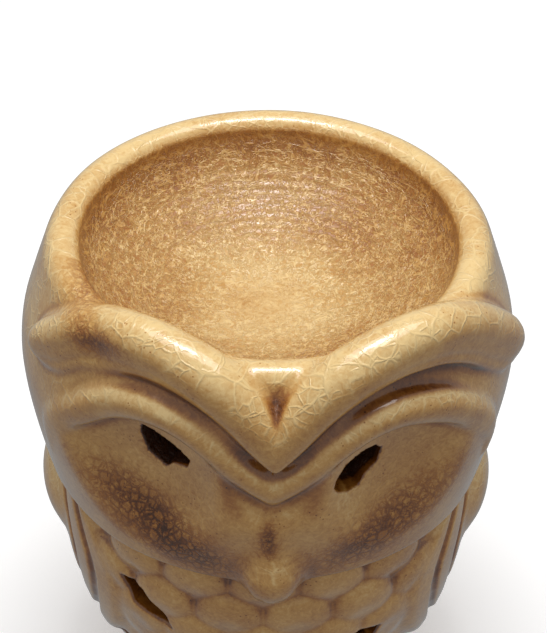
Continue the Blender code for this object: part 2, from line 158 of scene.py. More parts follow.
def outline_distance(outline, u, v):
    """Signed distance from points (u, v) to a closed outline, negative inside."""
    outline = np.array(outline, float)
    nearest = np.full(u.shape, 1e9)
    inside = np.zeros(u.shape, bool)
    for (au, av), (bu, bv) in zip(outline, np.roll(outline, -1, axis=0)):
        du, dv = bu - au, bv - av
        t = np.clip(((u - au) * du + (v - av) * dv) / max(du * du + dv * dv, 1e-12), 0.0, 1.0)
        np.minimum(nearest, (u - au - t * du) ** 2 + (v - av - t * dv) ** 2, out=nearest)
        crosses = (av > v) != (bv > v)
        if dv:
            inside ^= crosses & (u < au + (v - av) * du / dv)
    return np.where(inside, -1.0, 1.0) * np.sqrt(nearest)


def outline_of(*chains):
    """One outline from smooth chains of points that meet in corners."""
    return np.vstack([curve_through(chain, 4) for chain in chains])


class Turned:
    """A solid turned about the axis, from a closed outline of (radius, height)."""

    STEP = 0.25
    MARGIN = 8.0

    def __init__(self, outline, rounding=2):
        outline = np.array(outline, float)
        self.low = outline.min(0) - self.MARGIN
        high = outline.max(0) + self.MARGIN
        counts = ((high - self.low) / self.STEP).astype(int) + 1
        u = self.low[0] + self.STEP * np.arange(counts[0])
        v = self.low[1] + self.STEP * np.arange(counts[1])
        table = outline_distance(outline, *np.meshgrid(u, v, indexing="ij"))
        for _ in range(rounding):
            table[1:-1] = (table[:-2] + 2 * table[1:-1] + table[2:]) / 4
            table[:, 1:-1] = (table[:, :-2] + 2 * table[:, 1:-1] + table[:, 2:]) / 4
        self.table = table

    def __call__(self, points):
        u = (np.hypot(points[:, 0], points[:, 1]) - self.low[0]) / self.STEP
        v = (points[:, 2] - self.low[1]) / self.STEP
        rows, columns = self.table.shape
        u = np.clip(u, 0, rows - 1.001)
        v = np.clip(v, 0, columns - 1.001)
        i, j = u.astype(int), v.astype(int)
        u, v = u - i, v - j
        low = self.table[i, j] * (1 - v) + self.table[i, j + 1] * v
        high = self.table[i + 1, j] * (1 - v) + self.table[i + 1, j + 1] * v
        return low * (1 - u) + high * u


def prism(points, outline, centre, turn, depth):
    """A cutter of a flat outline (across, up) that reaches depth to both sides of its centre."""
    own = (points - centre) @ turn.T
    return np.maximum(outline_distance(outline, own[:, 0], own[:, 2]), np.abs(own[:, 1]) - depth)


def ripple(points, size, seed):
    """A smooth, shapeless unevenness between about -1 and 1, as left by hands."""
    chance = np.random.default_rng(seed)
    total = np.zeros(len(points))
    for _ in range(7):
        direction = chance.normal(size=3)
        direction *= chance.uniform(0.7, 1.3) / (size * np.linalg.norm(direction))
        total += np.sin(points @ direction * math.tau + chance.uniform(0, math.tau))
    return total / 4.0


# ---------------------------------------------------------------- meshes from fields

CORNERS = [(i, j, k) for i in (0, 1) for j in (0, 1) for k in (0, 1)]
CELL_EDGES = [(a, b) for a in range(8) for b in range(a + 1, 8)
              if sum(abs(p - q) for p, q in zip(CORNERS[a], CORNERS[b])) == 1]


def net(field, low, high, step):
    """Vertices and quads of a field's surface: one vertex for each cell that the surface passes through."""
    axes = [np.arange(a, b + step, step) for a, b in zip(low, high)]
    grid = np.stack(np.meshgrid(*axes, indexing="ij"), -1)
    shape = grid.shape[:3]
    value = field(grid.reshape(-1, 3)).reshape(shape)
    cell_shape = tuple(n - 1 for n in shape)
    corner = [value[tuple(slice(o, o + n) for o, n in zip(offset, cell_shape))] for offset in CORNERS]
    filled = sum((c < 0).astype(int) for c in corner)
    cells = np.argwhere((filled > 0) & (filled < 8))
    at = [c[tuple(cells.T)] for c in corner]
    total = np.zeros((len(cells), 3))
    count = np.zeros(len(cells))
    for a, b in CELL_EDGES:
        crossed = (at[a] < 0) != (at[b] < 0)
        t = np.where(crossed, at[a] / np.where(crossed, at[a] - at[b], 1.0), 0.0)
        spot = np.array(CORNERS[a]) + t[:, None] * (np.array(CORNERS[b]) - np.array(CORNERS[a]))
        total += np.where(crossed[:, None], spot, 0.0)
        count += crossed
    vertices = np.array(low) + (cells + total / count[:, None]) * step
    number = np.full(cell_shape, -1)
    number[tuple(cells.T)] = np.arange(len(cells))
    quads = []
    for axis in range(3):
        first, second = (axis + 1) % 3, (axis + 2) % 3
        here = [slice(None)] * 3
        there = [slice(None)] * 3
        here[axis], there[axis] = slice(0, -1), slice(1, None)
        start, end = value[tuple(here)] < 0, value[tuple(there)] < 0
        for leaving in (True, False):
            spots = np.argwhere(start & ~end if leaving else ~start & end)
            keep = (spots[:, first] > 0) & (spots[:, second] > 0)
            keep &= (spots[:, first] < cell_shape[first]) & (spots[:, second] < cell_shape[second])
            spots = spots[keep]
            ring = []
            for back_first, back_second in ((1, 1), (0, 1), (0, 0), (1, 0)):
                cell = spots.copy()
                cell[:, first] -= back_first
                cell[:, second] -= back_second
                ring.append(number[tuple(cell.T)])
            quads.append(np.stack(ring if leaving else ring[::-1], -1))
    return vertices, np.vstack(quads)


def gradient(field, points, reach=0.15):
    """Direction in which the field grows, by its value at the corners of a small tetrahedron."""
    total = np.zeros_like(points)
    for corner in ((1, 1, 1), (1, -1, -1), (-1, 1, -1), (-1, -1, 1)):
        offset = np.array(corner, float) * reach
        total += offset * field(points + offset)[:, None]
    return total / (4 * reach * reach)


def settle(field, points, rounds):
    """Moves points onto the field's surface."""
    for _ in range(rounds):
        slope = gradient(field, points)
        steep = np.maximum((slope**2).sum(1), 0.25)
        move = slope * (field(points) / steep)[:, None]
        length = np.linalg.norm(move, axis=1)[:, None]
        points = points - move * np.minimum(1.0, 0.6 / np.maximum(length, 1e-9))
    return points


def split_quads(vertices, quads):
    """Every quad becomes four, with new vertices at its middle and on its edges."""
    edges = np.sort(np.vstack([quads[:, [i, (i + 1) % 4]] for i in range(4)]), axis=1)
    unique, index = np.unique(edges, axis=0, return_inverse=True)
    index = index.reshape(4, -1)
    count, sides = len(vertices), len(unique)
    on_edges = (vertices[unique[:, 0]] + vertices[unique[:, 1]]) / 2
    in_faces = vertices[quads].mean(1)
    centre = count + sides + np.arange(len(quads))
    parts = [np.stack([quads[:, i], count + index[i], centre, count + index[(i + 3) % 4]], -1)
             for i in range(4)]
    return np.vstack([vertices, on_edges, in_faces]), np.vstack(parts)


def surface(field, low, high, step):
    """Vertices and quads that lie on a field's surface."""
    vertices, quads = net(field, low, high, step * (1.0))
    vertices = settle(field, vertices, 3)
    vertices, quads = split_quads(vertices, quads)
    return settle(field, vertices, 2), quads


def sculpt(name, field, low, high, step, facts):
    """Builds the mesh of a field, with named per-vertex facts for its material."""
    vertices, quads = surface(field, low, high, step)
    mesh = bpy.data.meshes.new(name)
    mesh.vertices.add(len(vertices))
    placed = (vertices + (0.0, AXIS_Y, 0.0)) * MM
    mesh.vertices.foreach_set("co", placed.ravel())
    mesh.loops.add(quads.size)
    mesh.loops.foreach_set("vertex_index", quads.ravel())
    mesh.polygons.add(len(quads))
    mesh.polygons.foreach_set("loop_start", np.arange(0, quads.size, 4))
    mesh.update(calc_edges=True)
    mesh.validate()
    mesh.shade_smooth()
    outwards = gradient(field, vertices)
    outwards /= np.maximum(np.linalg.norm(outwards, axis=1), 1e-9)[:, None]
    for label, measure in facts.items():
        layer = mesh.attributes.new(label, "FLOAT", "POINT")
        layer.data.foreach_set("value", measure(vertices, outwards).astype(np.float32))
    obj = bpy.data.objects.new(name, mesh)
    bpy.context.scene.collection.objects.link(obj)
    return obj


# ---------------------------------------------------------------- the head

FACE_SHIFT = 1.5  # the face was put on a little to the owl's left of the dish, and the brow a little more
BROW_SHIFT = 1.9

DISH_R = 37.2
DISH_DEPTH = 17.0
LIP_Z = RIM_Z - 2.0
DISH_OUTLINE = [(DISH_R * math.sin(angle), LIP_Z - DISH_DEPTH * math.cos(angle))
                for angle in np.linspace(-0.17, 1.5, 44)]
HEAD_OUTLINE = outline_of(
    DISH_OUTLINE,
    [(37.2, 118.0), (38.4, 119.4), (40.4, 120.0), (42.4, 119.4), (43.9, 117.6), (45.1, 114.4), (47.1, 108.6),
     (49.0, 102.5), (49.9, 96.0), (49.8, 90.0), (49.1, 83.5), (48.0, 76.5), (46.7, 69.3)],
    [(46.7, 69.3), (46.3, 68.9), (45.2, 69.0)],
    [(45.2, 69.0), (41.8, 70.4), (40.2, 74.0), (37.8, 78.0), (37.0, 84.0), (37.0, 98.0), (35.5, 103.8),
     (30.0, 101.4), (22.0, 98.8), (12.0, 96.9), (0.0, 96.4), (-6, 96.4)])

# rolls: across, away from the axis, height, radius, and how far the roll's edge hangs below it
BROW = [(0, -45.6, 107.0, 4.9, 1.6), (3.2, -45.0, 110.3, 5.0, 1.3), (6.9, -43.6, 114.2, 5.1, 1.1),
        (11.5, -42.0, 117.7, 5.0, 1.1), (16.7, -39.4, 120.0, 4.8, 1.4), (22, -36.2, 121.1, 4.6, 1.8),
        (26.5, -33.2, 120.9, 4.5, 2.2), (30.8, -29.4, 119.3, 4.5, 2.6), (35.5, -24.6, 115.5, 4.6, 2.9),
        (39.8, -19.6, 110.0, 4.7, 3.0), (43.2, -15.6, 105.2, 4.4, 2.6), (44.9, -13.4, 102.0, 3.5, 1.6),
        (45.6, -12.2, 100.0, 2.4, 0.6)]
# the brow's end on the owl's right lies further forward on the wall
BROW_LEFT = BROW[:-5] + [(35.5, -27.0, 117.6, 4.5, 2.7), (39.5, -24.2, 113.9, 4.4, 2.7),
                         (42.6, -21.8, 111.4, 3.8, 2.2), (44.6, -20.4, 109.6, 3.0, 1.2),
                         (45.6, -19.8, 108.8, 2.0, 0.4)]
BROW_GROOVE = [(0, -45.2, 121.4, 1.4), (0, -47.2, 119.6, 2.1), (0, -49.5, 117.0, 2.2),
               (0, -51.4, 114.0, 1.2)]
NOSE = [(0, -44.8, 92.5, 1.8), (0, -45.8, 86.0, 2.4), (0, -46.4, 79.0, 3.3), (0, -46.6, 73.5, 4.4)]
BROW_SLANT = 0.035  # the brow rises a little towards the owl's left
LID = [(0, -45.6, 95.8, 3.9, 0.3), (4, -45.6, 98.6, 3.7, 0.3), (8.3, -45.0, 102.4, 3.5, 0.3),
       (13, -43.9, 106.4, 3.4, 0.3), (17.5, -42.3, 109.0, 3.4, 0.3), (23, -39.4, 109.6, 3.5, 0.4),
       (29.8, -35.0, 107.0, 3.6, 0.5), (35.8, -29.9, 101.4, 3.4, 0.5), (40.2, -25.2, 94.4, 2.8, 0.5),
       (41.9, -22.2, 87.6, 1.6, 0.1), (41.6, -21.4, 82.0, 0.7, 0.0)]
LID_LEFT = LID[:-4] + [(36.0, -31.2, 101.2, 3.4, 0.5), (41.0, -26.8, 94.6, 2.8, 0.4),
                       (42.8, -24.0, 88.2, 1.9, 0.1), (42.8, -22.6, 82.0, 0.8, 0.0)]
VIEW_DOWN = np.array((-0.64, -0.77))  # towards the front and down, where a roll's lip is


def lipped_roll(points, path, edge_r):
    """A roll of clay that narrows towards the front and down into a firm edge."""
    solid = roll(points, [p[:4] for p in path])
    for share in (0.5, 1.0):
        edge = []
        for x, y, z, r, hang in path:
            drop = VIEW_DOWN * (r + hang - edge_r) * share
            edge.append((x, y + drop[0], z + drop[1], r + (edge_r - r) * share))
        solid = soft_union(solid, roll(points, edge), 0.8)
    return solid


def folded_rolls(points, left, right, edge_r):
    """Lipped rolls on both sides of the face; both paths run outwards from the same middle."""
    half = mirrored(points)
    solid = np.empty(len(points))
    for side, path in ((points[:, 0] < 0, left), (points[:, 0] >= 0, right)):
        solid[side] = lipped_roll(half[side], path, edge_r)
    return solid


turned_head = Turned(HEAD_OUTLINE)

CUT_REACH = 9.0  # half the length of a knife cut through a wall

# each eye: its centre, and its outline as cut with a knife, across and up
EYES = [((-20.2, -39.4, 97.7), [(-5.5, 1.2), (-5.2, 3.3), (-2.8, 2.8), (1.6, 1.3), (5.3, -0.5), (4.7, -2.6),
                                (1.5, -3.2), (-0.1, -4.9), (-4.0, -2.9)]),
        ((15.5, -41.5, 96.2), [(-5.2, -2.4), (-4.8, -0.8), (-2.7, 1.9), (0.8, 3.2), (3.8, 3.4), (5.2, 1.8),
                               (4.3, -1.2), (1.7, -3.0), (0.3, -4.9), (-2.0, -5.0), (-4.3, -3.9)])]


def shifted(points, shift):
    """Points relative to the middle of the face."""
    moved = points.copy()
    moved[:, 0] -= shift
    return moved


def mirrored(points):
    folded = points.copy()
    folded[:, 0] = np.abs(points[:, 0])
    return folded


def knife_cut(points, outline, centre, turn):
    """An outline (across, up) pushed through the wall at a place, square to it."""

    def cut(near):
        return prism(near, outline, centre, turn, CUT_REACH)

    return only_near(points, centre - CUT_REACH, centre + CUT_REACH, cut)


def eye_holes(points):
    cuts = np.full(len(points), FAR)
    for centre, outline in EYES:
        turn = turn_matrix(math.degrees(math.atan2(centre[0], -centre[1])))
        cuts = np.minimum(cuts, knife_cut(points, outline, np.array(centre), turn))
    return cuts


def head_field(points):
    solid = turned_head(points) + 0.12 * ripple(points, 26.0, 3)
    face = shifted(points, FACE_SHIFT)
    half = mirrored(face)
    socket = ball(half, around(30, 60, 97), (31.0, 16.3, 29.5), turn_matrix(30, 0, -8))
    middle = ball(half, around(0, 62, 101), (15.0, 16.4, 21.0))
    solid = soft_cut(solid, soft_union(socket, middle, 5.0), 2.2)
    nose = roll(half, NOSE)
    beak = ball(half, around(0, 46.6, 72.0), (5.6, 5.4, 6.6), turn_matrix(0, -8))
    solid = soft_union(solid, soft_union(nose, beak, 2.5), 3.2)
    solid = soft_union(solid, folded_rolls(face, LID_LEFT, LID, 1.0), 1.5)
    level = shifted(points, BROW_SHIFT)
    level[:, 2] -= BROW_SLANT * level[:, 0]
    solid = soft_union(solid, folded_rolls(level, BROW_LEFT, BROW, 1.4), 1.4)
    solid = soft_cut(solid, roll(shifted(points, BROW_SHIFT + 0.6), BROW_GROOVE), 1.3)
    return soft_cut(solid, eye_holes(face), 0.5)


# ---------------------------------------------------------------- the body

FLOOR_Z = BASE_TOP_Z  # the tealight stands on it
BODY_SIDE = [(31.2, 8.2), (33.4, 12.0), (36.2, 19.0), (38.8, 26.0), (41.0, 33.0), (42.6, 42.0), (43.1, 50.0),
             (42.8, 58.0), (41.8, 66.0), (39.7, 74.0)]
BODY_OUTLINE = outline_of(
    [(-6, BASE_FOOT_Z + 0.8), (17.0, BASE_FOOT_Z + 0.8), (18.5, BASE_FOOT_Z), (28.2, BASE_FOOT_Z),
     (29.6, 2.8), (30.0, 4.4), (29.6, 6.2), (29.9, 7.2), (31.2, 8.2)],
    BODY_SIDE, [(39.7, 74.0), (-6, 74.0)])
HOLLOW_OUTLINE = outline_of(
    [(-6, FLOOR_Z), (24.0, FLOOR_Z)],
    [(24.0, FLOOR_Z), (26.4, 7.6), (28.4, 10.5), (33.2, 22.0), (37.0, 34.0), (38.4, 44.0), (38.4, 54.0),
     (36.6, 64.0), (35.4, 70.0), (35.4, 78.0)],
    [(35.4, 78.0), (-6, 78.0)])
turned_body = Turned(BODY_OUTLINE)
turned_hollow = Turned(HOLLOW_OUTLINE)

# rows of feathers: height, sideways shift in steps, and feathers on each side of the middle
FEATHER_ROWS = [(66.4, 0.5, 3), (58.9, 0.0, 2), (51.2, 0.5, 3), (43.5, 0.0, 2), (35.8, 0.5, 2),
                (28.1, 0.0, 2), (20.4, 0.5, 1)]
FEATHER_STEP = 18.5  # degrees round the body
FEATHER_SIZE = (8.5, 3.3, 9.9)
DIMPLE_SIZE = (5.6, 2.9, 6.6)
# vents: azimuth and height, and the outline as cut with a knife
VENTS = [((-34.0, 51.5), [(-5.6, 4.2), (0.2, 3.4), (6.6, -5.2), (-2.2, -2.0)]),
         ((27.0, 42.5), [(-5.4, 2.6), (4.8, 2.6), (3.2, -3.4), (-3.8, -4.2)]),
         ((-16.0, 33.0), [(-5.0, 1.2), (1.8, 3.8), (6.0, 0.4), (-1.0, -3.6)]),
         ((40.0, 28.0), [(-5.6, -1.0), (-0.6, 3.4), (5.6, 1.4), (0.8, -3.4)]),
         ((-44.0, 28.0), [(-5.6, 1.4), (0.6, 3.4), (5.6, -1.0), (-0.8, -3.4)])]
WING_PROUD = 1.7
WING_EDGE = [(-16, 67), (-26, 61), (-32, 52), (-31.5, 42), (-27, 31), (-17, 21), (-3, 13), (12, 8.5),
             (19, 12),
             (25, 24), (26, 38), (21, 52), (12, 62), (0, 68)]
WING_QUILLS = [[(-19, 62), (-25.5, 52), (-25.5, 42), (-21, 31), (-12, 21)],
               [(-12, 58), (-17.5, 48), (-16.5, 37), (-9, 25), (2, 14.5)],
               [(-4, 57), (-9, 47), (-7, 35), (2, 23), (12, 12.5)],
               [(5, 57), (1, 47), (4, 34), (13, 21), (18, 15)]]


def body_radius(height):
    radii, heights = zip(*BODY_SIDE)
    return float(np.interp(height, heights, radii))


def feathers(points):
    """Rows of overlapping feathers on the breast, each leaning out at its lower end and a little hollow."""
    best = np.full(len(points), FAR)
    for height, shift, side in FEATHER_ROWS:
        for place in np.arange(-side + shift, side + 0.1 - shift):
            azimuth = FEATHER_STEP * place
            turn = turn_matrix(azimuth, 13.0, 0.2 * azimuth)
            wall = body_radius(height)
            feather = ball(points, around(azimuth, wall - 2.1, height), FEATHER_SIZE, turn)
            dimple = ball(points, around(azimuth, wall + 3.6, height - 2.2), DIMPLE_SIZE, turn)
            best = soft_union(best, soft_cut(feather, dimple, 1.2), 0.35)
    return best


def side_prism(points, outline):
    """An outline of (y, z) pushed through sideways, outside the middle of the body."""
    shape = outline_distance(outline_of([*outline, outline[0]]), points[:, 1], points[:, 2])
    return np.maximum(shape, 12.0 - points[:, 0])


def wing(half):
    """A folded wing: a thin layer with long feathers marked in it, and a rounded shoulder on top."""
    layer = soft_cut(turned_body(half) - WING_PROUD, -side_prism(half, WING_EDGE), 1.6)
    for quill in WING_QUILLS:
        path = []
        for y, z in curve_through(quill, 2):
            radius = body_radius(z) + WING_PROUD + 0.25
            path.append((math.sqrt(max(radius**2 - y * y, 0.0)), y, z, 0.95))
        layer = soft_cut(layer, roll(half, path, 1), 1.3)
    shoulder = ball(half, np.array((39.9, 2.5, 50.5)), (9.3, 15.0, 14.5), turn_matrix(0, 0, 7))
    return soft_union(layer, shoulder, 2.0)


def toes(half):
    best = np.full(len(half), FAR)
    for toe in (-1, 0, 1):
        base = np.array((13.0 + 5.4 * toe, -33.6 + abs(toe), 6.0))
        one = ball(half, base, (3.2, 8.4, 4.1), turn_matrix(-13.0 * toe))
        best = soft_union(best, one, 0.9)
    return best


def doorway(points):
    """The arch at the back through which the tealight goes in."""
    half_width, spring = 23.0, 24.0
    post = np.maximum(np.abs(points[:, 0]) - half_width, points[:, 2] - spring)
    arch = np.hypot(points[:, 0], points[:, 2] - spring) - half_width
    opening = np.maximum(np.minimum(post, arch), FLOOR_Z + 0.2 - points[:, 2])
    return np.maximum(opening, 12.0 - points[:, 1])


def body_field(points):
    half = mirrored(points)
    solid = turned_body(points) + 0.12 * ripple(points, 30.0, 5)
    solid = soft_union(solid, feathers(points), 0.8)
    solid = soft_union(solid, wing(half), 0.8)
    solid = soft_union(solid, toes(half), 1.4)
    solid = np.maximum(solid, points[:, 2] - 74.0)
    solid = soft_cut(solid, turned_hollow(points), 0.8)
    for (azimuth, height), outline in VENTS:
        centre = around(azimuth, body_radius(height), height)
        solid = soft_cut(solid, knife_cut(points, outline, centre, turn_matrix(azimuth)), 0.8)
    return soft_cut(solid, doorway(points), 0.9)


# ---------------------------------------------------------------- facts for the glaze


def hollowness(field):
    """0 on flat and bulging places, up to 1 in grooves, judged near the surface and further from it."""

    def measure(points, outwards):
        near, far = 1.6, 5.0
        close = 1.0 - field(points + outwards * near) / near
        wide = 1.0 - field(points + outwards * far) / far
        return np.clip(0.5 * np.clip(close, 0.0, 1.0) + 0.8 * np.clip(wide, 0.0, 1.0), 0.0, 1.0)

    return measure


def in_dish(points, outwards):
    radius = np.hypot(points[:, 0], points[:, 1])
    upper = smoothstep(98.0, 99.5, points[:, 2])
    return (1.0 - smoothstep(36.2, 38.4, radius)) * upper


def spot(across, height, middle, size):
    """A soft patch, 1 in its middle, with half sizes across and up."""
    return np.exp(-((across - middle[0]) / size[0]) ** 2 - ((height - middle[1]) / size[1]) ** 2)


def head_stain(points, outwards):
    """Where the glaze ran together and went brown: low in the eye sockets, down the nose, at the brow's left
    end and in its groove. Dark brown also through the eye holes and inside the head."""
    face = shifted(points, FACE_SHIFT)
    across, height = face[:, 0], points[:, 2]
    out = np.abs(across)
    slide = height - 0.42 * (out - 22.0)
    patch = spot(out, slide, (22.0, 79.5), (14.5, 7.0)) * np.where(across < 0, 1.0, 0.75)
    nose = spot(across, height, (-0.6, 84.0), (1.9, 5.5))
    brow = spot(across, height, (-34.0, 119.0), (6.5, 4.0))
    groove = 0.35 * spot(across, height, (0.9, 116.2), (2.4, 4.0)) * (points[:, 1] < -43.5)
    front = np.where(points[:, 1] < -10, 1.0, 0.0)
    total = front * (patch + 0.7 * nose + 0.6 * brow + groove)
    radius = np.hypot(points[:, 0], points[:, 1])
    dish_floor = LIP_Z - DISH_DEPTH * np.sqrt(np.clip(1 - (radius / DISH_R) ** 2, 0, 1))
    inside = (1 - smoothstep(42.4, 43.4, radius)) * (1 - smoothstep(103.5, 105.5, height))
    return np.clip(total + inside * (height < dish_floor - 1.5), 0.0, 1.0)


def body_stain(points, outwards):
    """Brown glaze on the inside."""
    radius = np.hypot(points[:, 0], points[:, 1])
    wall = np.interp(points[:, 2], [z for _, z in BODY_SIDE], [r for r, _ in BODY_SIDE])
    inside = 1.0 - smoothstep(-3.0, -1.4, radius - wall)
    return 0.55 * inside * (points[:, 2] > FLOOR_Z - 0.5)


def unglazed(points, outwards):
    """The underside of the foot, wiped clean before firing."""
    return 1.0 - smoothstep(BASE_FOOT_Z + 0.5, BASE_FOOT_Z + 1.1, points[:, 2])


def nowhere(points, outwards):
    return np.zeros(len(points))


# ---------------------------------------------------------------- looks


class Look:
    """A node material under construction. Numbers become socket values, sockets become links."""

    def __init__(self, name):
        self.material = bpy.data.materials.new(name)
        self.material.use_nodes = True
        self.tree = self.material.node_tree
        self.shader = self.tree.nodes["Principled BSDF"]

    def node(self, kind, inputs=None, **settings):
        node = self.tree.nodes.new(kind)
        for key, value in settings.items():
            setattr(node, key, value)
        for key, value in (inputs or {}).items():
            self.feed(node.inputs[key], value)
        return node

    def feed(self, socket, value):
        if isinstance(value, bpy.types.NodeSocket):
            self.tree.links.new(value, socket)
        else:
            socket.default_value = value

    def vector(self, operation, a, b=None):
        node = self.node("ShaderNodeVectorMath", {0: a}, operation=operation)
        if b is not None:
            self.feed(node.inputs[3 if operation == "SCALE" else 1], b)
        return node.outputs[0]

    def math(self, operation, *values, clamp=False):
        node = self.node("ShaderNodeMath", operation=operation, use_clamp=clamp)
        for socket, value in zip(node.inputs, values):
            self.feed(socket, value)
        return node.outputs[0]

    def add(self, *values):
        total = values[0]
        for value in values[1:]:
            total = self.math("ADD", total, value)
        return total

    def largest(self, a, b):
        return self.math("MAXIMUM", a, b, clamp=True)

    def times(self, a, b):
        return self.math("MULTIPLY", a, b)

    def fade(self, value, start, end, low=0.0, high=1.0):
        """low where value is at or before start, high where it is at or past end."""
        inputs = {"Value": value, "From Min": start, "From Max": end, "To Min": low, "To Max": high}
        node = self.node("ShaderNodeMapRange", inputs, interpolation_type="SMOOTHSTEP")
        return node.outputs["Result"]

    def fact(self, name):
        return self.node("ShaderNodeAttribute", attribute_name=name).outputs["Fac"]

    def place(self):
        """Object coordinates in millimetres, so that patterns keep their real size."""
        return self.vector("SCALE", self.node("ShaderNodeTexCoord").outputs["Object"], 1.0 / MM)

    def noise(self, place, size, detail=2.0, rough=0.5, warp=0.0, **more):
        inputs = {"Vector": place, "Scale": 1.0 / size, "Detail": detail, "Roughness": rough,
                  "Distortion": warp}
        return self.node("ShaderNodeTexNoise", inputs, **more)

    def cracks(self, place, size, width):
        """1 on the borders of irregular cells, 0 inside them."""
        inputs = {"Vector": place, "Scale": 1.0 / size}
        node = self.node("ShaderNodeTexVoronoi", inputs, feature="DISTANCE_TO_EDGE")
        return self.fade(node.outputs["Distance"], 0.0, width / size, 1.0, 0.0)

    def strands(self, value, width):
        """1 along the middle level of a noise, which gives wavy strands."""
        off = self.math("ABSOLUTE", self.math("SUBTRACT", value, 0.5))
        return self.fade(off, 0.0, width, 1.0, 0.0)

    def blend(self, share, a, b):
        node = self.node("ShaderNodeMix", data_type="RGBA")
        self.feed(node.inputs["Factor"], share)
        self.feed(node.inputs[6], a)
        self.feed(node.inputs[7], b)
        return node.outputs[2]

    def ramp(self, value, stops):
        node = self.node("ShaderNodeValToRGB", {"Fac": value})
        steps = node.color_ramp.elements
        for index, (position, colour) in enumerate(stops):
            step = steps[index] if index < 2 else steps.new(position)
            step.position = position
            step.color = (*colour, 1.0)
        return node.outputs["Color"]

    def bump(self, height, strength, distance, normal=None):
        inputs = {"Height": height, "Strength": strength, "Distance": distance * MM}
        if normal is not None:
            inputs["Normal"] = normal
        return self.node("ShaderNodeBump", inputs).outputs["Normal"]

    def finish(self, **inputs):
        for key, value in inputs.items():
            self.feed(self.shader.inputs[key.replace("_", " ")], value)
        return self.material


GLAZE_DEPTHS = [(0.0, (0.90, 0.64, 0.28)), (0.25, (0.66, 0.355, 0.092)), (0.5, (0.41, 0.155, 0.022)),
                (0.75, (0.20, 0.056, 0.004)), (1.0, (0.06, 0.015, 0.001))]

BISCUIT = [(0.3, (0.42, 0.25, 0.14)), (0.7, (0.56, 0.37, 0.22))]


